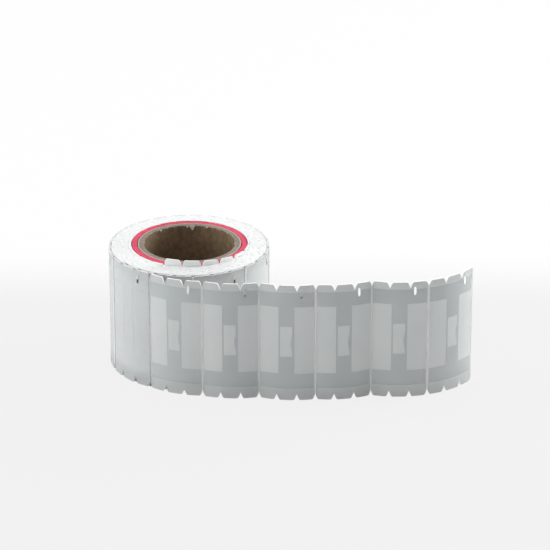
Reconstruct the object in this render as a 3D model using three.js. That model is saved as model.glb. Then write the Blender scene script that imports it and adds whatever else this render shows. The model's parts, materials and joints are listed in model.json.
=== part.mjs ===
// A roll of die-cut adhesive film labels on a notched release liner.
// The web stands on its edge: it is wound on a paperboard core whose axis is vertical, over a red
// end-of-roll leader, and a strip of six labels leaves the roll and runs free.
// The liner bends at the gap between two labels and nowhere else, because each label is stiffer than
// the liner and keeps the curl that it got on the roll. So the last wound turn and the free strip are
// chains of curved segments, one for each label, and every gap is a hinge line.
// Millimetres, +Z up, the strip runs towards +X, and the roll unwinds anticlockwise seen from above.
import * as THREE from "three";
import { mergeVertices } from "three/addons/utils/BufferGeometryUtils.js";

const degrees = Math.PI / 180;
const roundSteps = 48; // in a full turn of anything round

// Driving dimensions.
const webWidth = 34.2;
const boreRadius = 12.7;
const coreBoardRadius = 14.0;
const coreRadius = 14.35;
const coreLength = 34.95;
const leaderRadius = 16.2; // where the red leader ends and the web begins
const rollRadius = 22.25; // of the liner's centre line, where the strip leaves the roll
const windingTurns = 12; // from where the web starts to where the strip leaves, nearly
const labelPitch = 15.76; // along the web, from gap to gap
const labelsInLastTurn = 9;
const leavingAngle = -118 * degrees; // where on the roll the strip leaves it
const stripHeadings = [-21, -3, -5, 10, 1, 37].map((angle) => angle * degrees); // of each label's chord
const stripCurlRadius = 23;
const turnCurlRadius = 22.1;
const rollAxis = new THREE.Vector2(-27.717, 3.024); // the origin is under the middle of the whole object

// Films, as offsets outwards from the liner's centre line. The adhesive is in the gaps between them.
const liner = { inner: -0.06, outer: 0.06 };
const insert = { inner: 0.09, outer: 0.15 };
const label = { inner: 0.18, outer: 0.32 };

// Die-cut outline: each label has three tabs along each edge, parted by notches.
const linerGap = 0.2;
const insertGap = 1.0;
const labelGap = 0.6;
const notchDepth = 1.8;
const notchWidth = 1.6;
const notchPlaces = [0, 0.327, 0.673, 1]; // shares of the label pitch
const slot = { from: 0.735, to: 0.775, low: webWidth - 3.85, high: webWidth - 1.4 };
const insertBand = { low: 3.4, lowInside: 7.9, highInside: 27.7, high: 32.0 };
const insertColumn = { from: 0.355, to: 0.63 };
const insertWindow = { from: 0.385, to: 0.59, low: 13.0, high: 21.9 };

// The wound turns step up towards the core, and the web's inner end stands proud of it.
const coneRise = 0.75;
const proudRise = 1.7;
const proudAngle = 125 * degrees;
const webStartAngle = -114 * degrees;

// Tapes that hold the leader to the core and to the web.
const tapeThickness = 0.08;
const filmGap = 0.04;
const tapeInset = 2;
const startTapeAngle = 70 * degrees;
const spliceAngle = 35 * degrees;

const finish = (color, roughness) => new THREE.MeshStandardMaterial({ color, roughness, metalness: 0 });
const materials = {
  board: finish(0x8c7a66, 0.9),
  ply: finish(0xa39a8e, 0.85),
  tape: finish(0xd8d2b8, 0.5),
  leader: finish(0xe0466a, 0.45),
  liner: finish(0xeceff0, 0.4),
  insert: finish(0xaab4b6, 0.45),
  label: finish(0xdfe4e5, 0.3),
};

const roll = new THREE.Group();
const addNode = (name, geometry, material) => {
  const mesh = new THREE.Mesh(geometry, material);
  mesh.name = name;
  mesh.position.set(rollAxis.x, rollAxis.y, 0);
  roll.add(mesh);
};

// A point of a path, with the direction that faces away from the roll.
const onCircle = (radius, angle) => ({
  at: new THREE.Vector2(radius * Math.cos(angle), radius * Math.sin(angle)),
  out: new THREE.Vector2(Math.cos(angle), Math.sin(angle)),
});

// A closed sheet along a path, in columns between places. place(s) gives the path's point at s, and
// spansOf(middle) the stretches of height that hold material in the column with that middle, each as
// a pair of functions of s.
function filmSheet(places, place, spansOf, inner, outer) {
  const columns = places.slice(1).map((end, i) => spansOf((places[i] + end) / 2));
  const covers = (column, i, height) =>
    (columns[column] ?? []).some(([low, high]) => low(places[i]) < height && high(places[i]) > height);
  const lines = places.map((s, i) => {
    const spans = [...(columns[i - 1] ?? []), ...(columns[i] ?? [])];
    const heights = spans.flatMap(([low, high]) => [low(s), high(s)]).sort((a, b) => a - b);
    return heights.filter((height, k) => k === 0 || height - heights[k - 1] > 1e-6);
  });
  const corner = (i, height, offset) => {
    const { at, out } = place(places[i]);
    return [at.x + out.x * offset, at.y + out.y * offset, height];
  };
  const positions = [];
  const triangle = (a, b, c) => {
    positions.push(...corner(...a, outer), ...corner(...b, outer), ...corner(...c, outer));
    positions.push(...corner(...a, inner), ...corner(...c, inner), ...corner(...b, inner));
  };
  const wall = (a, b) => {
    const [p, q, r, t] = [corner(...a, outer), corner(...a, inner), corner(...b, inner), corner(...b, outer)];
    positions.push(...p, ...q, ...r, ...p, ...r, ...t);
  };
  columns.forEach((spans, i) => {
    for (const [low, high] of spans) {
      const inSpan = (k) => (height) =>
        height > low(places[k]) - 1e-6 && height < high(places[k]) + 1e-6;
      const left = lines[i].filter(inSpan(i)).map((height) => [i, height]);
      const right = lines[i + 1].filter(inSpan(i + 1)).map((height) => [i + 1, height]);
      wall(left[0], right[0]);
      wall(right.at(-1), left.at(-1));
      while (left.length > 1 || right.length > 1) {
        const upRight = left.length === 1 || (right.length > 1 && right[1][1] < left[1][1]);
        triangle(left[0], right[0], upRight ? right[1] : left[1]);
        (upRight ? right : left).shift();
      }
    }
  });
  lines.forEach((heights, i) => {
    for (let k = 0; k < heights.length - 1; k++) {
      const middle = (heights[k] + heights[k + 1]) / 2;
      const [before, after] = [covers(i - 1, i, middle), covers(i, i, middle)];
      if (after && !before) wall([i, heights[k + 1]], [i, heights[k]]);
      if (before && !after) wall([i, heights[k]], [i, heights[k + 1]]);
    }
  });
  const geometry = new THREE.BufferGeometry();
  geometry.setAttribute("position", new THREE.Float32BufferAttribute(positions, 3));
  const welded = mergeVertices(geometry, 1e-4);
  welded.computeVertexNormals();
  return welded;
}

// How far the die cuts into both edges of the web at a share of the label pitch.
function notchCut(share) {
  const nearest = Math.min(...notchPlaces.map((place) => Math.abs(share - place))) * labelPitch;
  return notchDepth * Math.max(0, 1 - nearest / (notchWidth / 2));
}

// Shares of the pitch at which an outline changes, with others between them so that the films bend
// together.
const halfNotch = notchWidth / 2 / labelPitch;
const notchCorners = notchPlaces.flatMap((place) => [place - halfNotch, place, place + halfNotch]);
const bendPlaces = [slot, insertColumn, insertWindow].flatMap(({ from, to }) => [from, to])
  .concat([0.115, 0.195, 0.275, 0.45, 0.52, 0.855]);
function placesOf(gap, shares) {
  const end = gap / 2 / labelPitch;
  const inner = shares.filter((share) => share > end && share < 1 - end).sort((a, b) => a - b);
  return [end, ...inner, 1 - end];
}

// The three films of one label, on an arc from one gap to the next.
function addLabel(name, arc) {
  const inside = (share, { from, to }) => share > from && share < to;
  const flat = (height) => () => height;
  const lowEdge = (share) => notchCut(share);
  const highEdge = (share) => webWidth - notchCut(share);
  const film = (share) => inside(share, slot)
    ? [[lowEdge, flat(slot.low)], [flat(slot.high), highEdge]]
    : [[lowEdge, highEdge]];
  const insertFilm = (share) => {
    const top = flat(inside(share, slot) ? slot.low : insertBand.high);
    if (inside(share, insertWindow))
      return [[flat(insertBand.low), flat(insertWindow.low)], [flat(insertWindow.high), top]];
    if (inside(share, insertColumn)) return [[flat(insertBand.low), top]];
    return [[flat(insertBand.low), flat(insertBand.lowInside)], [flat(insertBand.highInside), top]];
  };
  const notched = [...bendPlaces, ...notchCorners];
  const films = {
    liner: [liner, placesOf(linerGap, notched), film],
    insert: [insert, placesOf(insertGap, bendPlaces), insertFilm],
    label: [label, placesOf(labelGap, notched), film],
  };
  for (const [kind, [offsets, places, spans]] of Object.entries(films)) {
    addNode(`${name}_${kind}`, filmSheet(places, arc, spans, offsets.inner, offsets.outer), materials[kind]);
  }
}

// An arc of the web from one gap to the next, as a function of the share of the pitch.
function webArc(start, heading, curlRadius) {
  const first = heading - labelPitch / curlRadius / 2;
  return (share) => {
    const angle = first + (share * labelPitch) / curlRadius;
    const across = curlRadius * (Math.sin(angle) - Math.sin(first));
    const along = -curlRadius * (Math.cos(angle) - Math.cos(first));
    return {
      at: new THREE.Vector2(start.x + across, start.y + along),
      out: new THREE.Vector2(Math.sin(angle), -Math.cos(angle)),
    };
  };
}
const chordOf = (curlRadius) => 2 * curlRadius * Math.sin(labelPitch / curlRadius / 2);

// The web is one spiral. Angles run on from turn to turn, up to where the strip leaves.
const webStart = webStartAngle - windingTurns * 2 * Math.PI;
const turnPitch = (2 * Math.PI * (rollRadius + liner.inner - leaderRadius)) / (leavingAngle - webStart);
const webRadius = (angle) => rollRadius + (turnPitch * (angle - leavingAngle)) / (2 * Math.PI);

// The gaps of the last turn lie on the spiral. They are found backwards from where the strip leaves,
// each one chord from the next.
const gapAngles = [leavingAngle];
for (let i = 0; i < labelsInLastTurn; i++) {
  const radius = webRadius(gapAngles[0] - 20 * degrees);
  gapAngles.unshift(gapAngles[0] - 2 * Math.asin(chordOf(turnCurlRadius) / 2 / radius));
}
const gapPoints = gapAngles.map((angle) => onCircle(webRadius(angle), angle).at);
for (let i = 0; i < labelsInLastTurn; i++) {
  const heading = gapPoints[i + 1].clone().sub(gapPoints[i]).angle();
  addLabel(`turn${i + 1}`, webArc(gapPoints[i], heading, turnCurlRadius));
}

let stripStart = gapPoints[labelsInLastTurn];
stripHeadings.forEach((heading, i) => {
  addLabel(`strip${i + 1}`, webArc(stripStart, heading, stripCurlRadius));
  const step = new THREE.Vector2(Math.cos(heading), Math.sin(heading));
  stripStart = stripStart.clone().addScaledVector(step, chordOf(stripCurlRadius));
});

// A tube round the axis, standing on the surface that the roll stands on.
function tube(inside, outside, height) {
  const corners = [[inside, 0], [outside, 0], [outside, height], [inside, height], [inside, 0]];
  const profile = corners.map(([radius, up]) => new THREE.Vector2(radius, up));
  return new THREE.LatheGeometry(profile, roundSteps).rotateX(Math.PI / 2);
}
addNode("core_board", tube(boreRadius, coreBoardRadius, coreLength), materials.board);
addNode("core_outer_ply", tube(coreBoardRadius + 0.02, coreRadius, coreLength), materials.ply);

// A band that follows a curve round the axis between two angles, inner face first.
function band(from, to, radiusAt, thickness, lowAt, highAt) {
  const steps = Math.ceil(((to - from) * roundSteps) / (2 * Math.PI));
  const places = Array.from({ length: steps + 1 }, (_, i) => from + ((to - from) * i) / steps);
  const place = (angle) => onCircle(radiusAt(angle), angle);
  return filmSheet(places, place, () => [[lowAt, highAt]], 0, thickness);
}

// Double-sided tape holds the leader to the core, and a splice joins the leader to the web.
const tapePatch = (from, length, radius) =>
  band(from, from + length, () => radius, tapeThickness, () => tapeInset, () => webWidth - tapeInset);
addNode("core_start_tape", tapePatch(0, startTapeAngle, coreRadius + filmGap), materials.tape);
addNode("splice_tape", tapePatch(webStartAngle, spliceAngle, leaderRadius - filmGap - tapeThickness),
  materials.tape);
const tapeRoom = tapeThickness + 2 * filmGap;
addNode("red_leader", tube(coreRadius + tapeRoom, leaderRadius - tapeRoom, coreLength),
  materials.leader);

// The web's first turn stands proud where it starts and settles as it goes round.
const coneAt = (radius) => (coneRise * (rollRadius - radius)) / (rollRadius - leaderRadius);
function lowEdge(angle) {
  const share = Math.max(0, 1 - (angle - webStart) / proudAngle);
  return coneAt(webRadius(angle)) + proudRise * share * share * (3 - 2 * share);
}
addNode("first_turn", band(webStart, webStart + 2 * Math.PI - degrees,
  (angle) => webRadius(angle) + liner.inner, label.outer - liner.inner,
  lowEdge, (angle) => lowEdge(angle) + webWidth), materials.liner);

// The turns between the first and the last are one body between two turns of the spiral. It has a
// step inside, where the first turn runs into it, and one outside, where the last turn leaves it.
function spiralTurn(from, offset) {
  return Array.from({ length: roundSteps + 1 }, (_, i) => {
    const angle = from + (i / roundSteps) * 2 * Math.PI;
    return onCircle(webRadius(angle) + offset, angle).at;
  });
}
function woundBody() {
  const halfGap = linerGap / 2 / rollRadius;
  const outline = new THREE.Shape(spiralTurn(gapAngles[0] - halfGap - 2 * Math.PI, label.outer));
  outline.holes.push(new THREE.Path(spiralTurn(webStart + 2 * Math.PI, liner.inner)));
  const body = new THREE.ExtrudeGeometry(outline, { depth: webWidth, bevelEnabled: false });
  const position = body.getAttribute("position");
  for (let i = 0; i < position.count; i++) {
    const radius = Math.hypot(position.getX(i), position.getY(i));
    position.setZ(i, position.getZ(i) + coneAt(radius));
  }
  return body;
}
addNode("wound_web", woundBody(), materials.liner);

export default roll;
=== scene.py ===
# The looks of a roll of die-cut film labels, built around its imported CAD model.
# Lengths are in millimetres, and become metres where a mesh, a light or the camera is made.
import json
import math
import random

import bpy
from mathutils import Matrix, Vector


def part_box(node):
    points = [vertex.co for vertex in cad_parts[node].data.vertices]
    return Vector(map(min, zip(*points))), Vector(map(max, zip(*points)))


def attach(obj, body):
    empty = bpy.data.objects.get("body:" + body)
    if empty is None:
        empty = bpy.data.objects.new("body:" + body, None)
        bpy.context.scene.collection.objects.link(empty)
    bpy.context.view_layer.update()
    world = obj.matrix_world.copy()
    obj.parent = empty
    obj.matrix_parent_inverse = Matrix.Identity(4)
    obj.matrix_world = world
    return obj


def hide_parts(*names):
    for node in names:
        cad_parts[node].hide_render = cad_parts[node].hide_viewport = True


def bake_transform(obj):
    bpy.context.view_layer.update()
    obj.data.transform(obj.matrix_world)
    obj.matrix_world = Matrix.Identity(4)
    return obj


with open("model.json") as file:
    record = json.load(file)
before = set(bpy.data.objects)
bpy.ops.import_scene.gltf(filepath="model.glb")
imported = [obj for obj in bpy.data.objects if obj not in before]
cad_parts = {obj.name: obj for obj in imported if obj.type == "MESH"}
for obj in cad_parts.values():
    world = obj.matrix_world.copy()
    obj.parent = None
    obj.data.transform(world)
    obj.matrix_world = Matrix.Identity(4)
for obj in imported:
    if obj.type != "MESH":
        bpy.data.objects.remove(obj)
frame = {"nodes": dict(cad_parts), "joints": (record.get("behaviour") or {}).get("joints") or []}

MM = 0.001
FULL_TURN = 2 * math.pi
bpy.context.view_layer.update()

# The web, in the CAD's own sizes. Films are offsets outwards from the liner's centre line, and are a
# little thicker than the CAD's, because there the adhesive is air. A crease is the film that bridges a gap,
# and reaches this far to each side of the fold.
WEB_WIDTH = 34.2
LABEL_PITCH = 15.76
TURN_CURL, STRIP_CURL = 22.1, 23.0
LINER, INSERT, LABEL = (-0.10, 0.08), (0.09, 0.15), (0.16, 0.33)
WOUND_LINER = (-0.155, 0.08)
CREASE, CREASE_REACH = (-0.10, 0.13), 0.155
WOUND_CREASE, WOUND_REACH, WOUND_GAP = (-0.155, 0.335), 0.15, 0.33
LINER_GAP, INSERT_GAP, LABEL_GAP = 0.2, 0.9, 0.42
NOTCH_PLACES = (0.0, 0.327, 0.673, 1.0)
NOTCH_DEPTH, NOTCH_WIDTH, NOTCH_LIP = 1.8, 1.75, 1.5
CLOSED_NOTCH = 0.22
SLOT = {"from": 0.733, "to": 0.777, "low": WEB_WIDTH - 3.9, "high": WEB_WIDTH - 1.4}
BAND = {"low": 3.4, "low_inside": 7.9, "high_inside": 27.7, "high": 32.0}
COLUMN = {"from": 0.355, "to": 0.63}
WINDOW = {"from": 0.385, "to": 0.59, "low": 13.0, "high": 21.9}
TONGUE = {"from": 0.562, "half": 2.3, "middle": 16.9}
LAST_CORNER = 1.6  # radius of the free end's lower corner

# The winding.
CORE_BORE, CORE_BOARD, CORE_OUTSIDE, CORE_LENGTH = 12.7, 14.0, 14.35, 34.95
LEADER_INSIDE, LEADER_OUTSIDE, LEADER_TURNS = 14.48, 16.07, 8
WEB_INSIDE, ROLL_RADIUS, WEB_FACE = 16.2, 22.25, 0.06
WINDING_TURNS, LAST_TURN_LABELS, STRIP_LABELS = 12, 9, 6
LEAVING_ANGLE, WEB_START = math.radians(-118), math.radians(-114)
CONE_RISE, PROUD_RISE, PROUD_ANGLE = 0.75, 1.7, math.radians(125)

core_low, core_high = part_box("core_board")
AXIS = ((core_low.x + core_high.x) / 2 / MM, (core_low.y + core_high.y) / 2 / MM)
hinges = {j["name"]: (j["pos_m"][0] / MM, j["pos_m"][1] / MM) for j in frame["joints"]}


# ---------------------------------------------------------------- meshes

class Piece:
    """The points and faces of one piece. A point is made once for each key."""

    def __init__(self):
        self.points, self.faces, self.finishes, self.places = [], [], [], {}

    def point(self, key, position):
        if key not in self.places:
            self.places[key] = len(self.points)
            self.points.append(position)
        return self.places[key]

    def face(self, corners, finish=0):
        kept = [c for i, c in enumerate(corners) if c != corners[i - 1]]
        if len(kept) > 2:
            self.faces.append(kept)
            self.finishes.append(finish)

    def build(self, name, body, slot, materials, replaces=(), smooth_below=35):
        mesh = bpy.data.meshes.new(name)
        mesh.from_pydata([[x * MM for x in p] for p in self.points], [], self.faces)
        for material in materials:
            mesh.materials.append(material)
        for polygon, finish in zip(mesh.polygons, self.finishes):
            polygon.material_index = finish
            polygon.use_smooth = True
        mesh.update()
        mesh.set_sharp_from_angle(angle=math.radians(smooth_below))
        made = bpy.data.objects.new(name, mesh)
        bpy.context.scene.collection.objects.link(made)
        if body:
            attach(made, body)
        if replaces:
            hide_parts(*replaces)
        return made


def no_rise(s):
    return 0.0


def add_sheet(piece, places, place, spans_of, film, rise=no_rise, tag=0, face=0, edge=1, back=None):
    """A closed film along a path, in columns between places. place(s) gives the path's point and its
    outward direction, and spans_of(s) the stretches of height that hold film in the column round s,
    each as a pair of functions of s. face, edge and back are numbers of materials, and the inner face has
    the outer one's unless back is given."""
    inner, outer = film
    columns = [spans_of((a + b) / 2) for a, b in zip(places, places[1:])]
    spots = [place(s) for s in places]

    def held(i):
        return columns[i] if 0 <= i < len(columns) else []

    def edge_height(side, i):
        return round(side(places[i]), 5)

    lines = [sorted({edge_height(side, i) for span in held(i - 1) + held(i) for side in span})
             for i in range(len(places))]

    def corner(i, height, offset):
        x, y, out_x, out_y = spots[i]
        position = (x + out_x * offset, y + out_y * offset, height + rise(places[i]))
        return piece.point((tag, i, height, offset), position)

    def wall(a, b):
        piece.face([corner(*a, outer), corner(*a, inner), corner(*b, inner), corner(*b, outer)], edge)

    def both_faces(corners):
        piece.face([corner(*c, outer) for c in corners], face)
        piece.face([corner(*c, inner) for c in reversed(corners)], face if back is None else back)

    for i, spans in enumerate(columns):
        for low, high in spans:
            left, right = ([(k, h) for h in lines[k] if edge_height(low, k) <= h <= edge_height(high, k)]
                           for k in (i, i + 1))
            wall(left[0], right[0])
            wall(right[-1], left[-1])
            if len(left) == len(right) == 2:
                both_faces([left[0], right[0], right[1], left[1]])
                continue
            while len(left) > 1 or len(right) > 1:
                up_right = len(left) == 1 or (len(right) > 1 and right[1][1] < left[1][1])
                both_faces([left[0], right[0], right[1] if up_right else left[1]])
                (right if up_right else left).pop(0)

    for i, heights in enumerate(lines):
        for low, high in zip(heights, heights[1:]):
            def covered(column):
                return any(edge_height(a, i) <= low and edge_height(b, i) >= high for a, b in held(column))
            before, after = covered(i - 1), covered(i)
            if after and not before:
                wall((i, high), (i, low))
            if before and not after:
                wall((i, low), (i, high))


# ---------------------------------------------------------------- paths of the web

def arc(start, far, curl, length):
    """The web's path from a hinge, of which a point at that length is known, by the share of a pitch."""
    heading = math.atan2(far[1] - start[1], far[0] - start[0])
    first = heading - length / curl / 2

    def place(s):
        angle = first + s * LABEL_PITCH / curl
        x = start[0] + curl * (math.sin(angle) - math.sin(first))
        y = start[1] - curl * (math.cos(angle) - math.cos(first))
        return x, y, math.sin(angle), -math.cos(angle)
    return place


def far_end(node, hinge):
    """The middle of a liner's end that is furthest from its hinge."""
    points = [(v.co.x / MM, v.co.y / MM) for v in frame["nodes"][node].data.vertices]
    points.sort(key=lambda p: math.dist(p, hinge))
    reach = math.dist(points[-1], hinge)
    last = [p for p in points if math.dist(p, hinge) > reach - 0.13]
    return sum(p[0] for p in last) / len(last), sum(p[1] for p in last) / len(last)


WEB_BEGIN = WEB_START - WINDING_TURNS * FULL_TURN
TURN_PITCH = FULL_TURN * (ROLL_RADIUS - WEB_FACE - WEB_INSIDE) / (LEAVING_ANGLE - WEB_BEGIN)


def web_radius(angle):
    return ROLL_RADIUS + TURN_PITCH * (angle - LEAVING_ANGLE) / FULL_TURN


def cone(angle):
    share = (ROLL_RADIUS - web_radius(angle)) / (ROLL_RADIUS - WEB_INSIDE)
    return CONE_RISE * max(0.0, share)


def on_ring(radius, angle):
    return (AXIS[0] + radius * math.cos(angle), AXIS[1] + radius * math.sin(angle),
            math.cos(angle), math.sin(angle))


def gap_angles(start, count, step):
    """The angles of the gaps between labels, from one gap on along the spiral."""
    angles = [start]
    for _ in range(count):
        angles.append(angles[-1] + step * LABEL_PITCH / web_radius(angles[-1] + step * math.radians(20)))
    return sorted(angles)


def along_spiral(gaps):
    """The spiral's path and its angle, by labels from the first of these gaps."""
    def angle_at(s):
        i = min(max(int(math.floor(s)), 0), len(gaps) - 2)
        return gaps[i] + (s - i) * (gaps[i + 1] - gaps[i])

    def place(s):
        angle = angle_at(s)
        return on_ring(web_radius(angle), angle)
    return place, angle_at


# ---------------------------------------------------------------- the die-cut outline

def notch_cut(s):
    """How far the die cuts into both edges of the web, with a rounded lip on each side."""
    away = min(abs(s % 1 - place) for place in NOTCH_PLACES) * LABEL_PITCH
    return NOTCH_DEPTH * max(0.0, 1 - away / (NOTCH_WIDTH / 2)) ** NOTCH_LIP


def low_edge(s):
    return notch_cut(s)


def high_edge(s):
    return WEB_WIDTH - notch_cut(s)


def closed_high_edge(s):
    """On the roll, the notches of the upper edge hardly show."""
    return WEB_WIDTH - CLOSED_NOTCH * notch_cut(s)


def flat(height):
    return lambda s: height


def inside(s, region):
    return region["from"] < s < region["to"]


def slot_half(s):
    """Half the slot's height at a share of the pitch: it is an oval."""
    middle, reach = (SLOT["from"] + SLOT["to"]) / 2, (SLOT["to"] - SLOT["from"]) / 2
    across = min(1.0, abs(s - middle) / reach)
    return (SLOT["high"] - SLOT["low"]) / 2 * (1 - across ** 3) ** 0.5


SLOT_MIDDLE = (SLOT["low"] + SLOT["high"]) / 2


def slot_low(s):
    return SLOT_MIDDLE - slot_half(s)


def slot_high(s):
    return SLOT_MIDDLE + slot_half(s)


def film_spans(low, high):
    return lambda s: ([(low, slot_low), (slot_high, high)] if inside(s, SLOT) else [(low, high)])


def insert_spans(s):
    top = (lambda t: min(BAND["high"], slot_low(t))) if inside(s, SLOT) else flat(BAND["high"])
    if inside(s, WINDOW):
        spans = [(flat(BAND["low"]), flat(WINDOW["low"]))]
        if s > TONGUE["from"]:
            spans.append((lambda t: TONGUE["middle"] - tongue_half(t),
                          lambda t: TONGUE["middle"] + tongue_half(t)))
        return spans + [(flat(WINDOW["high"]), top)]
    if inside(s, COLUMN):
        return [(flat(BAND["low"]), top)]
    return [(flat(BAND["low"]), flat(BAND["low_inside"])), (flat(BAND["high_inside"]), top)]


def tongue_half(s):
    share = min(1.0, max(0.0, (s - TONGUE["from"]) / (WINDOW["to"] - TONGUE["from"])))
    return TONGUE["half"] * share ** 0.5


def spread(low, high, step):
    """Evenly spaced places from low to high, at most step apart."""
    count = max(1, math.ceil((high - low) / step - 1e-9))
    return [low + (high - low) * i / count for i in range(count + 1)]


def with_detail(low, high, marks, step):
    """Places from low to high that hold every mark between them, and others at most step apart."""
    kept = sorted({round(m, 6) for m in marks if low + 1e-5 < m < high - 1e-5} | {low, high})
    return [p for a, b in zip(kept, kept[1:]) for p in spread(a, b, step)[:-1]] + [high]


FINE, COARSE = 0.0225, 0.05
NOTCH_STEPS = (0.0, 0.08, 0.18, 0.32, 0.5, 0.72, 1.0)
notch_marks = [place + side * step * NOTCH_WIDTH / 2 / LABEL_PITCH
               for place in NOTCH_PLACES for step in NOTCH_STEPS for side in (-1, 1)]
slot_marks = [SLOT["from"] + (SLOT["to"] - SLOT["from"]) * share
              for share in (0, 0.04, 0.12, 0.25, 0.4, 0.5, 0.6, 0.75, 0.88, 0.96, 1)]
tongue_marks = [TONGUE["from"] + (WINDOW["to"] - TONGUE["from"]) * share
                for share in (0, 0.06, 0.2, 0.45, 0.75, 1)]
shape_marks = slot_marks + tongue_marks + [COLUMN["from"], COLUMN["to"], WINDOW["from"], WINDOW["to"]]


def label_places(gap, marks):
    end = gap / 2 / LABEL_PITCH
    return with_detail(end, 1 - end, marks, FINE)


# ---------------------------------------------------------------- materials

def mottled(name, dark, light, scale, roughness, bump=0.0, bump_scale=None, stretch=(1, 1, 1),
            painted_shades=None, **sockets):
    """A principled material whose colour drifts between two tones, with a fine relief. painted_shades is
    painted shade: tones that multiply the colour by their height on the web."""
    material = bpy.data.materials.new(name)
    material.use_nodes = True
    nodes, links = material.node_tree.nodes, material.node_tree.links
    shader = nodes["Principled BSDF"]
    shader.inputs["Roughness"].default_value = roughness
    for socket, value in sockets.items():
        shader.inputs[socket.replace("_", " ")].default_value = value
    coordinates = nodes.new("ShaderNodeTexCoord")
    stretched = nodes.new("ShaderNodeMapping")
    stretched.inputs["Scale"].default_value = stretch
    links.new(coordinates.outputs["Object"], stretched.inputs["Vector"])

    def noise(size, detail):
        texture = nodes.new("ShaderNodeTexNoise")
        texture.inputs["Scale"].default_value = size
        texture.inputs["Detail"].default_value = detail
        links.new(stretched.outputs["Vector"], texture.inputs["Vector"])
        return texture

    tones = nodes.new("ShaderNodeValToRGB")
    tones.color_ramp.elements[0].position, tones.color_ramp.elements[1].position = 0.3, 0.7
    tones.color_ramp.elements[0].color = (*dark, 1)
    tones.color_ramp.elements[1].color = (*light, 1)
    links.new(noise(scale, 4).outputs["Fac"], tones.inputs["Fac"])
    links.new(tones.outputs["Color"], shader.inputs["Base Color"])
    # Painted shade: the colour is multiplied darker by height on the web.
    if painted_shades:
        paint_shade_by_height(material, coordinates, tones.outputs["Color"], painted_shades)
    if bump:
        relief = nodes.new("ShaderNodeBump")
        relief.inputs["Strength"].default_value = 1.0
        relief.inputs["Distance"].default_value = bump * MM
        links.new(noise(bump_scale or scale * 4, 6).outputs["Fac"], relief.inputs["Height"])
        links.new(relief.outputs["Normal"], shader.inputs["Normal"])
    return material


# Paints shade into the colour: a ramp of tones by height on the web multiplies it.
def paint_shade_by_height(material, coordinates, color, painted_shades):
    nodes, links = material.node_tree.nodes, material.node_tree.links
    parts, height = nodes.new("ShaderNodeSeparateXYZ"), nodes.new("ShaderNodeMapRange")
    ramp = nodes.new("ShaderNodeValToRGB")
    height.inputs["From Max"].default_value = WEB_WIDTH * MM
    links.new(coordinates.outputs["Object"], parts.inputs["Vector"])
    links.new(parts.outputs["Z"], height.inputs["Value"])
    links.new(height.outputs["Result"], ramp.inputs["Fac"])
    stops = ramp.color_ramp.elements
    while len(stops) < len(painted_shades):
        stops.new(0.5)
    for stop, (at, tone) in zip(stops, painted_shades):
        stop.position, stop.color = at, (tone, tone, tone, 1)
    shaded = nodes.new("ShaderNodeMix")
    shaded.data_type, shaded.blend_type = "RGBA", "MULTIPLY"
    shaded.inputs["Factor"].default_value = 1.0
    links.new(color, shaded.inputs["A"])
    links.new(ramp.outputs["Color"], shaded.inputs["B"])
    links.new(shaded.outputs["Result"], nodes["Principled BSDF"].inputs["Base Color"])


def lit_through(material, color, share):
    """Lets a share of the light come through a film from behind."""
    nodes, links = material.node_tree.nodes, material.node_tree.links
    through, mix = nodes.new("ShaderNodeBsdfTranslucent"), nodes.new("ShaderNodeMixShader")
    through.inputs["Color"].default_value = (*color, 1)
    mix.inputs["Fac"].default_value = share
    links.new(nodes["Principled BSDF"].outputs["BSDF"], mix.inputs[1])
    links.new(through.outputs["BSDF"], mix.inputs[2])
    links.new(mix.outputs["Shader"], nodes["Material Output"].inputs["Surface"])
    return material


# Painted shade on the label film: darker towards its bottom margin, and a little darker at its top margin.
PAINTED_MARGIN_SHADES = [(0.0, 0.75), (0.085, 0.80), (0.13, 1.0), (0.90, 1.0), (0.945, 0.93), (1.0, 0.90)]
label_face = mottled("label_film", (0.70, 0.725, 0.725), (0.74, 0.76, 0.755), 60, 0.34,
                     bump=0.003, bump_scale=700, painted_shades=PAINTED_MARGIN_SHADES, Alpha=0.28)
liner_face = lit_through(
    mottled("liner_film", (0.86, 0.875, 0.87), (0.90, 0.91, 0.905), 80, 0.42, bump=0.003, bump_scale=900),
    (0.90, 0.92, 0.92), 0.15)
wound_liner_face = lit_through(
    mottled("wound_liner_film", (0.72, 0.735, 0.735), (0.76, 0.775, 0.77), 80, 0.42, bump=0.003,
            bump_scale=900), (0.76, 0.78, 0.78), 0.15)
liner_back = lit_through(
    mottled("liner_back", (0.64, 0.65, 0.645), (0.69, 0.70, 0.695), 80, 0.5, bump=0.003, bump_scale=900),
    (0.90, 0.92, 0.92), 0.15)
insert_face = mottled("insert_film", (0.47, 0.505, 0.515), (0.53, 0.56, 0.565), 110, 0.5,
                      bump=0.003, bump_scale=900)
wound_insert_face = mottled("wound_insert_film", (0.59, 0.615, 0.62), (0.64, 0.66, 0.66), 110, 0.5,
                            bump=0.003, bump_scale=900)
web_face = mottled("web_face", (0.77, 0.785, 0.78), (0.83, 0.84, 0.835), 120, 0.4, bump=0.006)
cut_edge = mottled("cut_edge", (0.655, 0.665, 0.66), (0.735, 0.745, 0.74), 900, 0.6, bump=0.02,
                   bump_scale=4000)
red_film = mottled("red_film", (0.57, 0.045, 0.09), (0.69, 0.07, 0.13), 400, 0.6, bump=0.02,
                   bump_scale=3000, Specular_IOR_Level=0.25)
board = mottled("core_board_paper", (0.125, 0.078, 0.041), (0.205, 0.136, 0.074), 700, 0.9, bump=0.09,
                bump_scale=1600, stretch=(1, 1, 0.8))
board_edge = mottled("core_board_edge", (0.195, 0.16, 0.13), (0.31, 0.265, 0.225), 1400, 0.92, bump=0.08,
                     bump_scale=3500)
ply_paper = mottled("core_ply_paper", (0.33, 0.295, 0.26), (0.43, 0.39, 0.355), 900, 0.85, bump=0.06,
                    bump_scale=2500)
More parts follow.
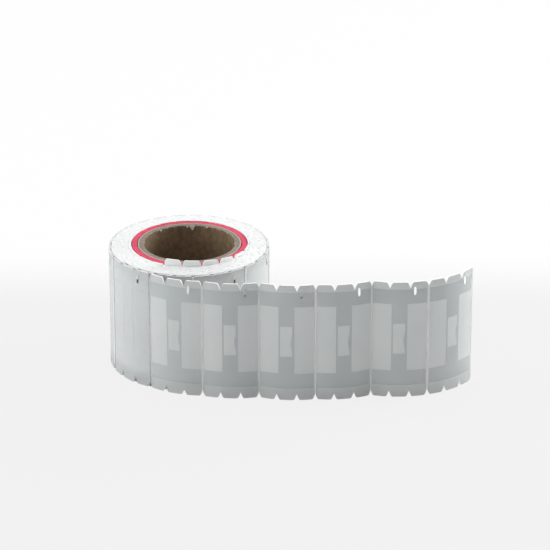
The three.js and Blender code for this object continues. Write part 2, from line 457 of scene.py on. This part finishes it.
# Painted shade: a near-black film that stands for the shadowed depth of a slot under its flap.
painted_hole_shade = mottled("painted_hole_shadow", (0.03, 0.03, 0.032), (0.07, 0.07, 0.075), 800, 0.7)
wound_flap = mottled("wound_flap_film", (0.55, 0.57, 0.57), (0.61, 0.63, 0.625), 500, 0.5)
white_film = mottled("white_film", (0.93, 0.935, 0.93), (0.97, 0.97, 0.965), 300, 0.5)
gap_film = lit_through(mottled("gap_film", (0.93, 0.935, 0.93), (0.97, 0.97, 0.965), 300, 0.5),
                       (0.97, 0.98, 0.98), 0.45)
dull_flap = mottled("flap_film", (0.46, 0.485, 0.49), (0.54, 0.56, 0.565), 500, 0.5)
tape_film = mottled("tape_film", (0.70, 0.66, 0.52), (0.78, 0.74, 0.62), 300, 0.5, bump=0.01)


# ---------------------------------------------------------------- labels of the last turn and the strip

def add_films(name, place, bodies, label_nodes, last):
    """The liner, insert and label of one pitch, each as its own piece."""
    wound = name.startswith("turn")
    low, high = (rounded_low_end, straight_high_end) if last else (low_edge, high_edge)
    if wound:
        high = closed_high_edge
    outline = film_spans(low, high)
    films = {
        "liner": (WOUND_LINER if wound else LINER, 2 * (WOUND_REACH if wound else CREASE_REACH),
                  notch_marks + shape_marks + end_marks(last), outline,
                  wound_liner_face if wound else liner_face),
        "insert": (INSERT, INSERT_GAP, shape_marks, insert_spans,
                   wound_insert_face if wound else insert_face),
        "label": (LABEL, WOUND_GAP if wound else LABEL_GAP, notch_marks + shape_marks + end_marks(last),
                  outline, label_face),
    }
    edge_material = cut_edge if wound else white_film
    for kind, (film, gap, marks, spans, face_material) in films.items():
        piece = Piece()
        add_sheet(piece, label_places(gap, marks), place, spans, film, back=2 if kind == "liner" else None)
        piece.build(f"look_{name}_{kind}", bodies[kind], kind,
                    [face_material, edge_material] + [liner_back] * (kind == "liner"), [label_nodes[kind]])


# What the punch left in a slot: a flap that fills this share of it from the top, and the flap's film.
# Under the flap, a near-black sheet is painted shade for the hole's shadowed depth.
# strip1's white flap is painted light: it stands for the bright roll that shows through the slot.
FLAPS = {"strip1": (1.0, (0.10, 0.22), white_film), "strip2": (0.8, (0.12, 0.28), dull_flap),
         "strip3": (0.8, (0.12, 0.28), dull_flap),
         **{f"turn{i + 1}": (0.5, (0.10, 0.325), wound_flap) for i in range(LAST_TURN_LABELS)}}


def add_flap(name, place, body):
    if name not in FLAPS:
        return
    share, film, material = FLAPS[name]
    inset = 0.01
    middle = (SLOT["from"] + SLOT["to"]) / 2
    places = [middle + (s - middle) * (1 - inset) for s in slot_marks]
    bottom = SLOT["high"] - share * (SLOT["high"] - SLOT["low"])

    def lowest(s):
        return slot_low(s) + inset * (SLOT_MIDDLE - slot_low(s))

    def highest(s):
        return slot_high(s) - inset * (slot_high(s) - SLOT_MIDDLE)

    def fold(s):
        return min(max(lowest(s), bottom), highest(s) - 0.01)

    piece = Piece()
    add_sheet(piece, places, place, lambda s: [(fold, highest)], film)
    # Where the flap leaves the slot open, a dark sheet of painted shade fills it.
    open_places = [s for s in places if lowest(s) < bottom - 0.05]
    if open_places:
        add_sheet(piece, open_places, place, lambda s: [(lowest, flat(bottom - 0.01))], (0.0, 0.09),
                  tag=1, face=2, edge=2)
        add_sheet(piece, places, place, lambda s: [(lowest, highest)], (-0.09, -0.01), tag=2)
    piece.build(f"look_{name}_flap", body, "label", [material, cut_edge, painted_hole_shade])


def end_marks(last):
    shares = (1, 0.7, 0.45, 0.25, 0.12, 0.04) if last else ()
    return [1 - LAST_CORNER / LABEL_PITCH * share for share in shares]


def straight_high_end(s):
    return WEB_WIDTH - (0.0 if s > 0.9 else notch_cut(s))


def rounded_low_end(s):
    if s < 0.85:
        return notch_cut(s)
    into = LAST_CORNER - (1 - s) * LABEL_PITCH + 0.1
    return LAST_CORNER - math.sqrt(max(0.0, LAST_CORNER ** 2 - max(0.0, into) ** 2))


hinge_names = ([f"unwind_{i + 1}" for i in range(LAST_TURN_LABELS)]
               + [f"strip_fold_{i + 1}" for i in range(STRIP_LABELS)])
names = ([f"turn{i + 1}" for i in range(LAST_TURN_LABELS)]
         + [f"strip{i + 1}" for i in range(STRIP_LABELS)])
paths = []
for i, name in enumerate(names):
    start = hinges[hinge_names[i]]
    curl = TURN_CURL if name.startswith("turn") else STRIP_CURL
    paths.append(arc(start, far_end(f"{name}_liner", start), curl, LABEL_PITCH - LINER_GAP / 2))
    peel = name.replace("strip", "peel")
    bodies = {"liner": name, "insert": peel, "label": peel}
    nodes = {kind: f"{name}_{kind}" for kind in bodies}
    add_films(name, paths[i], bodies, nodes, last=name == names[-1])
    add_flap(name, paths[i], peel)


# ---------------------------------------------------------------- the wound web

unwind_angle = math.atan2(hinges["unwind_1"][1] - AXIS[1], hinges["unwind_1"][0] - AXIS[0])
while unwind_angle > LEAVING_ANGLE - FULL_TURN + math.radians(30):
    unwind_angle -= FULL_TURN
while unwind_angle < LEAVING_ANGLE - 2 * FULL_TURN + math.radians(30):
    unwind_angle += FULL_TURN
OUTER_LABELS = 9
outer_gaps = gap_angles(unwind_angle, OUTER_LABELS, -1)
outer_place, outer_angle = along_spiral(outer_gaps)


def add_outer_turn():
    """The turn under the last one shows its labels once the last one is unwound."""
    outline = film_spans(low_edge, closed_high_edge)
    films = {
        "liner": (WOUND_LINER, LINER_GAP, notch_marks + shape_marks, outline, wound_liner_face),
        "insert": (INSERT, INSERT_GAP, shape_marks, insert_spans, wound_insert_face),
        "label": (LABEL, LABEL_GAP, notch_marks + shape_marks, outline, label_face),
    }
    for kind, (film, gap, marks, spans, face_material) in films.items():
        piece = Piece()
        for n in range(OUTER_LABELS):
            add_sheet(piece, label_places(gap, marks), lambda s, n=n: outer_place(n + s), spans, film,
                      rise=lambda s, n=n: cone(outer_angle(n + s)), tag=n)
        piece.build(f"look_outer_turn_{kind}", "roll", kind, [face_material, cut_edge])


def waver(seed, reach, longest, count=5):
    """A smooth random drift along the web."""
    random.seed(seed)
    waves = [(longest / (1 + 0.8 * i), random.uniform(0, FULL_TURN)) for i in range(count)]
    return lambda s: reach * sum(math.sin(FULL_TURN * s / length + phase) for length, phase in waves) / count


WOUND_NOTCH_SHARE = 0.08  # in the winding, the notches hardly show
coarse_notch_marks = [place + side * step * NOTCH_WIDTH / 2 / LABEL_PITCH
                      for place in NOTCH_PLACES for step in (0.0, 0.2, 0.5, 1.0) for side in (-1, 1)]


def add_wound_web():
    """All the turns between the first and the outer one, as one notched strip wound on its edge."""
    start, end = WEB_BEGIN + FULL_TURN, outer_gaps[0]
    gaps = [end]
    while gaps[0] > start:
        gaps.insert(0, gaps[0] - LABEL_PITCH / web_radius(gaps[0] - math.radians(22)))
    place, angle_at = along_spiral(gaps)
    drift = waver(3, 0.02, 2.3)
    first = (start - gaps[0]) / (gaps[1] - gaps[0])
    marks = [n + m for n in range(len(gaps) - 1) for m in coarse_notch_marks]

    def cut(s):
        return WOUND_NOTCH_SHARE * notch_cut(s)

    piece = Piece()
    add_sheet(piece, with_detail(first, len(gaps) - 1, marks, COARSE), place,
              lambda s: [(cut, lambda t: WEB_WIDTH - cut(t))], (-0.08, 0.41),
              rise=lambda s: cone(angle_at(s)) + drift(s) * min(1.0, cone(angle_at(s)) / 0.1))
    piece.build("look_wound_web", "roll", "web_edge", [white_film, cut_edge], ["wound_web"])


FIRST_FILM = (-0.06, 0.35)


def proud(angle):
    share = max(0.0, 1 - (angle - WEB_BEGIN) / PROUD_ANGLE)
    return PROUD_RISE * share * share * (3 - 2 * share)


def on_leader(place, angle_at):
    """The same path, with its directions made longer on the inside, so that a film there reaches in to
    the leader all the way round."""
    def longer(s):
        x, y, out_x, out_y = place(s)
        inward = 0.98 * TURN_PITCH * (angle_at(s) - WEB_BEGIN) / FULL_TURN + FIRST_FILM[1] - FIRST_FILM[0]
        outer = web_radius(angle_at(s)) + FIRST_FILM[1]
        return (*on_ring(outer, angle_at(s))[:2], out_x * inward, out_y * inward)
    return longer


def add_first_turn():
    """The web's inner end stands proud of the core where it starts, and settles as it goes round."""
    gaps = gap_angles(WEB_BEGIN, 8, 1)
    place, angle_at = along_spiral(gaps)
    end_angle = WEB_BEGIN + FULL_TURN - math.radians(1)
    end = next(n + (end_angle - gaps[n]) / (gaps[n + 1] - gaps[n])
               for n in range(len(gaps) - 1) if gaps[n + 1] > end_angle)
    marks = [n + m for n in range(8) for m in notch_marks]

    def high(s):
        return WEB_WIDTH - notch_cut(s) * min(1.0, WOUND_NOTCH_SHARE + proud(angle_at(s)) / 0.8)

    piece = Piece()
    add_sheet(piece, with_detail(0.02, end, marks, FINE), on_leader(place, angle_at),
              lambda s: [(low_edge, high)], (-1.0, 0.0),
              rise=lambda s: cone(angle_at(s)) + proud(angle_at(s)))
    piece.build("look_first_turn", "roll", "web_edge", [web_face, cut_edge], ["first_turn"])


def add_red_leader():
    """A few turns of red film, with small nicks along the upper edge."""
    pitch = (LEADER_OUTSIDE - LEADER_INSIDE) / LEADER_TURNS
    random.seed(11)
    nicks = [(random.uniform(0, LEADER_TURNS), random.uniform(0.0025, 0.007), random.uniform(0.15, 0.55))
             for _ in range(26)]
    drift = waver(5, 0.05, 0.7)

    def place(s):
        return on_ring(LEADER_INSIDE + pitch * s, s * FULL_TURN)

    def top(s):
        cut = max(depth * max(0.0, 1 - abs(s - at) / half) for at, half, depth in nicks)
        return CORE_LENGTH - 0.06 - cut + drift(s)

    marks = [at + half * k for at, half, _ in nicks for k in (-1, -0.5, 0, 0.5, 1)]
    end = LEADER_TURNS - 1
    piece = Piece()
    add_sheet(piece, with_detail(0, end, marks, 1 / 120), place, lambda s: [(flat(0.0), top)],
              (0.0, pitch * 0.95), face=0, edge=0)
    piece.build("look_red_leader", "roll", "red_leader", [red_film], ["red_leader"])


# ---------------------------------------------------------------- the core

def add_ring(piece, profile, steps, shift):
    """A closed ring: the profile goes round the section, and shift moves a point by its place."""
    count = len(profile)
    for n in range(steps):
        for k in range(count):
            corners = [(n, k), (n + 1, k), (n + 1, (k + 1) % count), (n, (k + 1) % count)]
            indices = []
            for m, q in corners:
                m %= steps
                angle = FULL_TURN * m / steps
                radius, height, _ = profile[q]
                d_radius, d_height = shift(angle, radius, height, profile[q][2])
                x, y, _, _ = on_ring(radius + d_radius, angle)
                indices.append(piece.point((m, q), (x, y, height + d_height)))
            piece.face(indices, profile[k][2])


def ring_noise(seed, waves, reach):
    """A random relief that closes on itself round the axis, and changes along the height."""
    random.seed(seed)
    parts = [(random.randint(*waves), random.uniform(0, FULL_TURN), random.uniform(-2.5, 2.5))
             for _ in range(9)]
    return lambda angle, up: reach * sum(math.sin(n * angle + phase + lean * up)
                                         for n, phase, lean in parts) / 3


WALL, END = 0, 1
SEAM_PITCH, SEAM_HALF, SEAM_DEPTH = 46.0, 0.35, 0.09


def add_core_board():
    """Spiral wound paperboard: a seam runs up inside, and the cut ends are rough."""
    rough, wall_waves = ring_noise(21, (30, 140), 0.05), ring_noise(22, (3, 11), 0.03)
    rim = ring_noise(23, (18, 90), 0.07)
    plies = 4
    profile = [(CORE_BORE, z, WALL) for z in reversed(spread(0.12, CORE_LENGTH - 0.12, 0.9))]
    profile += [(CORE_BORE + 0.08, 0.0, END)]
    profile += [(CORE_BOARD, 0.0, WALL), (CORE_BOARD, CORE_LENGTH - 0.05, END)]
    step = (CORE_BOARD - CORE_BORE - 0.08) / plies
    for n in range(plies):
        outer = CORE_BOARD - n * step
        profile += [(outer - 0.06, CORE_LENGTH - 0.02, END), (outer - step + 0.05, CORE_LENGTH - 0.02, END),
                    (outer - step, CORE_LENGTH - 0.13, END)]
    profile[-1] = (CORE_BORE + 0.04, CORE_LENGTH - 0.05, WALL)

    def shift(angle, radius, height, _):
        if height > CORE_LENGTH - 0.14:
            return 0.35 * rim(angle, radius), rough(angle, radius * 4) - 0.05
        if radius > CORE_BORE + 0.02 or height < 0.13:
            return 0.0, 0.0
        off = (height - SEAM_PITCH * angle / FULL_TURN) % (SEAM_PITCH / 2)
        off = min(off, SEAM_PITCH / 2 - off)
        return SEAM_DEPTH * max(0.0, 1 - off / SEAM_HALF) + wall_waves(angle, height * 0.08), 0.0

    piece = Piece()
    add_ring(piece, profile, 360, shift)
    piece.build("look_core_board", "roll", "core_board", [board, board_edge], ["core_board"])


def add_core_ply():
    rough = ring_noise(25, (20, 120), 0.035)
    inner, outer = CORE_BOARD + 0.02, CORE_OUTSIDE + 0.02
    profile = [(inner, CORE_LENGTH - 0.03, WALL), (inner, 0.0, WALL), (outer, 0.0, WALL),
               (outer, CORE_LENGTH - 0.06, WALL), (outer - 0.06, CORE_LENGTH - 0.01, WALL)]
    piece = Piece()
    add_ring(piece, profile, 360, lambda angle, r, h, _: (0.0, rough(angle, r) - 0.05 if h > 1 else 0.0))
    piece.build("look_core_ply", "roll", "core_ply", [ply_paper], ["core_outer_ply"])


# Torn fibres at the bore's upper rim: angle in degrees, width, how far it hangs, how far it leans in.
BIG_BURRS = [(88, 1.7, 1.35, 0.5), (94, 0.8, 0.7, 0.3), (131, 0.8, 0.5, 0.3), (68, 0.9, 0.45, 0.25),
             (1, 0.6, 0.9, 0.45), (177, 0.7, 0.6, 0.3)]


def add_burrs():
    """Fibres torn by the saw, each a thin tapered flake that hangs from the rim."""
    random.seed(31)
    small = [(random.uniform(0, 360), random.uniform(0.1, 0.4), random.uniform(0.08, 0.3),
              random.uniform(0.03, 0.15)) for _ in range(60)]
    piece = Piece()
    for tag, (degrees, width, hang, lean) in enumerate(BIG_BURRS + small):
        middle = math.radians(degrees)
        skew = random.uniform(-0.35, 0.35)
        rows = []
        for k in range(5):
            down = k / 4
            half = width / 2 * (1 - down) ** 0.8 + 0.02
            radius = CORE_BORE + 0.12 - lean * math.sin(down * math.pi / 2) - 0.05
            center = middle + skew * width * down / CORE_BORE
            rows.append((center - half / CORE_BORE, center + half / CORE_BORE, radius,
                         CORE_LENGTH - 0.12 - hang * down))
        grid = []
        for left, right, radius, height in rows:
            grid.append([piece.point((tag, len(grid), side, n), (*on_ring(radius - thick, angle)[:2], height))
                         for side, thick in ((0, 0.0), (1, 0.07))
                         for n, angle in enumerate((left, right))])
        for (a, b, c, d), (e, f, g, h) in zip(grid, grid[1:]):
            for corners in ((a, e, f, b), (c, d, h, g), (a, c, g, e), (b, f, h, d)):
                piece.face(list(corners))
        a, b, c, d = grid[0]
        piece.face([a, b, d, c])
        a, b, c, d = grid[-1]
        piece.face([a, c, d, b])
    piece.build("look_core_burrs", "roll", "core_ply", [ply_paper])


add_outer_turn()
add_wound_web()
add_first_turn()
add_red_leader()
add_core_board()
add_core_ply()
add_burrs()
for node in ("core_start_tape", "splice_tape"):
    frame["nodes"][node].data.materials.clear()
    frame["nodes"][node].data.materials.append(tape_film)


# ---------------------------------------------------------------- the liner across each gap

def add_crease(joint, before, after):
    """The liner runs on across a gap and bends there."""
    wound = joint["name"].startswith("unwind")
    film, reach, face = (
        (WOUND_CREASE, WOUND_REACH, web_face) if wound else (CREASE, CREASE_REACH, gap_film))

    def place(d):
        if d:
            return before(1 + d / LABEL_PITCH) if d < 0 else after(d / LABEL_PITCH)
        x, y = hinges[joint["name"]]
        a, b = before(1), after(0)
        out = Vector((a[2] + b[2], a[3] + b[3])).normalized()
        return x, y, out.x, out.y

    def cut(d):
        return notch_cut(d / LABEL_PITCH)

    def high(d):
        return closed_high_edge(d / LABEL_PITCH) if wound else WEB_WIDTH - cut(d)

    piece = Piece()
    add_sheet(piece, [-reach, -reach / 2, 0.0, reach / 2, reach], place, lambda d: [(cut, high)], film)
    made = piece.build(f"look_crease_{joint['name']}", None, "liner", [face, cut_edge])
    ends = [Vector((*place(side * reach)[:2], WEB_WIDTH / 2)) * MM for side in (-1, 1)]
    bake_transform(made)


joints = {j["name"]: j for j in frame["joints"]}
for i, name in enumerate(hinge_names):
    add_crease(joints[name], paths[i - 1] if i else lambda s: outer_place(OUTER_LABELS - 1 + s), paths[i])


# ---------------------------------------------------------------- stage

CAMERA_AT, CAMERA_DOWN, CAMERA_LENS = (-3.948, -869.23, 401.164), 23.32, 222.9
FLOOR_NEAR, FLOOR_FAR = (0.885, 0.872, 0.879), (0.985, 0.985, 0.985)
FLOOR_GLOW, FLOOR_WHITE = 0.93, 0.56
SKY_BRIGHT, SKY_DARK, SKY_TOP = 1.0, 0.15, 1.06
DARK_SIDE = (0.72, -0.694, 0.0)  # the direction that the least light comes from


def add_camera():
    data = bpy.data.cameras.new("camera")
    data.lens, data.sensor_width = CAMERA_LENS, 36
    data.clip_start, data.clip_end = 0.05, 30
    camera = bpy.data.objects.new("camera", data)
    camera.location = [x * MM for x in CAMERA_AT]
    camera.rotation_euler = (math.radians(90 - CAMERA_DOWN), 0, 0)
    bpy.context.scene.collection.objects.link(camera)
    bpy.context.scene.camera = camera


def add_floor():
    """A pale floor. The camera sees it evenly lit, with faint shadows, and whiter further back."""
    size = 9.0
    mesh = bpy.data.meshes.new("floor")
    corners = [(-size, -size, 0), (size, -size, 0), (size, size, 0), (-size, size, 0)]
    mesh.from_pydata(corners, [], [(0, 1, 2, 3)])
    floor = bpy.data.objects.new("floor", mesh)
    floor.location.z = -0.02 * MM
    bpy.context.scene.collection.objects.link(floor)
    material = bpy.data.materials.new("floor")
    material.use_nodes = True
    nodes, links = material.node_tree.nodes, material.node_tree.links
    shader = nodes["Principled BSDF"]
    shader.inputs["Roughness"].default_value = 0.9
    shader.inputs["Specular IOR Level"].default_value = 0.0
    shader.inputs["Base Color"].default_value = (FLOOR_WHITE,) * 3 + (1,)
    coordinates, parts = nodes.new("ShaderNodeTexCoord"), nodes.new("ShaderNodeSeparateXYZ")
    links.new(coordinates.outputs["Object"], parts.inputs["Vector"])
    ramp, along = nodes.new("ShaderNodeValToRGB"), nodes.new("ShaderNodeMapRange")
    along.inputs["From Min"].default_value, along.inputs["From Max"].default_value = 0.036, 0.082
    along.interpolation_type = "SMOOTHSTEP"
    links.new(parts.outputs["Y"], along.inputs["Value"])
    links.new(along.outputs["Result"], ramp.inputs["Fac"])
    ramp.color_ramp.elements[0].color, ramp.color_ramp.elements[1].color = (*FLOOR_NEAR, 1), (*FLOOR_FAR, 1)
    glow, path = nodes.new("ShaderNodeEmission"), nodes.new("ShaderNodeLightPath")
    share, mix = nodes.new("ShaderNodeMath"), nodes.new("ShaderNodeMixShader")
    share.operation = "MULTIPLY"
    share.inputs[1].default_value = FLOOR_GLOW
    links.new(ramp.outputs["Color"], glow.inputs["Color"])
    glow.inputs["Strength"].default_value = 1.025
    links.new(path.outputs["Is Camera Ray"], share.inputs[0])
    links.new(share.outputs["Value"], mix.inputs["Fac"])
    links.new(shader.outputs["BSDF"], mix.inputs[1])
    links.new(glow.outputs["Emission"], mix.inputs[2])
    links.new(mix.outputs["Shader"], nodes["Material Output"].inputs["Surface"])
    mesh.materials.append(material)


def set_range(node, from_min, from_max, to_min, to_max):
    node.inputs["From Min"].default_value, node.inputs["From Max"].default_value = from_min, from_max
    node.inputs["To Min"].default_value, node.inputs["To Max"].default_value = to_min, to_max


def add_sky():
    """Soft light from above, behind and both sides, and little from one side. The camera sees white."""
    world = bpy.data.worlds.new("studio")
    bpy.context.scene.world = world
    world.use_nodes = True
    nodes, links = world.node_tree.nodes, world.node_tree.links
    coordinates, parts = nodes.new("ShaderNodeTexCoord"), nodes.new("ShaderNodeSeparateXYZ")
    links.new(coordinates.outputs["Generated"], parts.inputs["Vector"])
    level = nodes.new("ShaderNodeMapRange")
    level.interpolation_type = "SMOOTHSTEP"
    set_range(level, 0.95, 0.0, SKY_DARK, SKY_BRIGHT)
    towards = nodes.new("ShaderNodeVectorMath")
    towards.operation = "DOT_PRODUCT"
    towards.inputs[1].default_value = DARK_SIDE
    links.new(coordinates.outputs["Generated"], towards.inputs[0])
    links.new(towards.outputs["Value"], level.inputs["Value"])
    overhead, brighter = nodes.new("ShaderNodeMapRange"), nodes.new("ShaderNodeMath")
    overhead.interpolation_type = "SMOOTHSTEP"
    set_range(overhead, 0.3, 0.85, 0.0, SKY_TOP)
    links.new(parts.outputs["Z"], overhead.inputs["Value"])
    brighter.operation = "MAXIMUM"
    links.new(level.outputs["Result"], brighter.inputs[0])
    links.new(overhead.outputs["Result"], brighter.inputs[1])
    lit = nodes["Background"]
    links.new(brighter.outputs["Value"], lit.inputs["Strength"])
    lit.inputs["Color"].default_value = (0.985, 0.995, 1.0, 1)
    seen, path = nodes.new("ShaderNodeBackground"), nodes.new("ShaderNodeLightPath")
    mix = nodes.new("ShaderNodeMixShader")
    seen.inputs["Color"].default_value = (*FLOOR_FAR, 1)
    seen.inputs["Strength"].default_value = 1.015
    links.new(path.outputs["Is Camera Ray"], mix.inputs["Fac"])
    links.new(lit.outputs["Background"], mix.inputs[1])
    links.new(seen.outputs["Background"], mix.inputs[2])
    links.new(mix.outputs["Shader"], nodes["World Output"].inputs["Surface"])


def add_softbox(name, at, size, power):
    data = bpy.data.lights.new(name, "AREA")
    data.shape, data.size, data.size_y, data.energy = "RECTANGLE", size[0] * MM, size[1] * MM, power
    light = bpy.data.objects.new(name, data)
    light.location = Vector(at) * MM
    light.rotation_euler = (Vector((0, 0, 20)) - Vector(at)).to_track_quat("-Z", "Y").to_euler()
    light.visible_camera = False
    bpy.context.scene.collection.objects.link(light)


add_camera()
add_floor()
add_sky()
add_softbox("left_softbox", (-700, 0, 260), (500, 500), 3.2)
add_softbox("right_softbox", (685, 225, 260), (500, 500), 4.5)
add_softbox("near_softbox", (260, 130, 110), (120, 120), 0.36)
bpy.context.scene.view_settings.view_transform = "Standard"
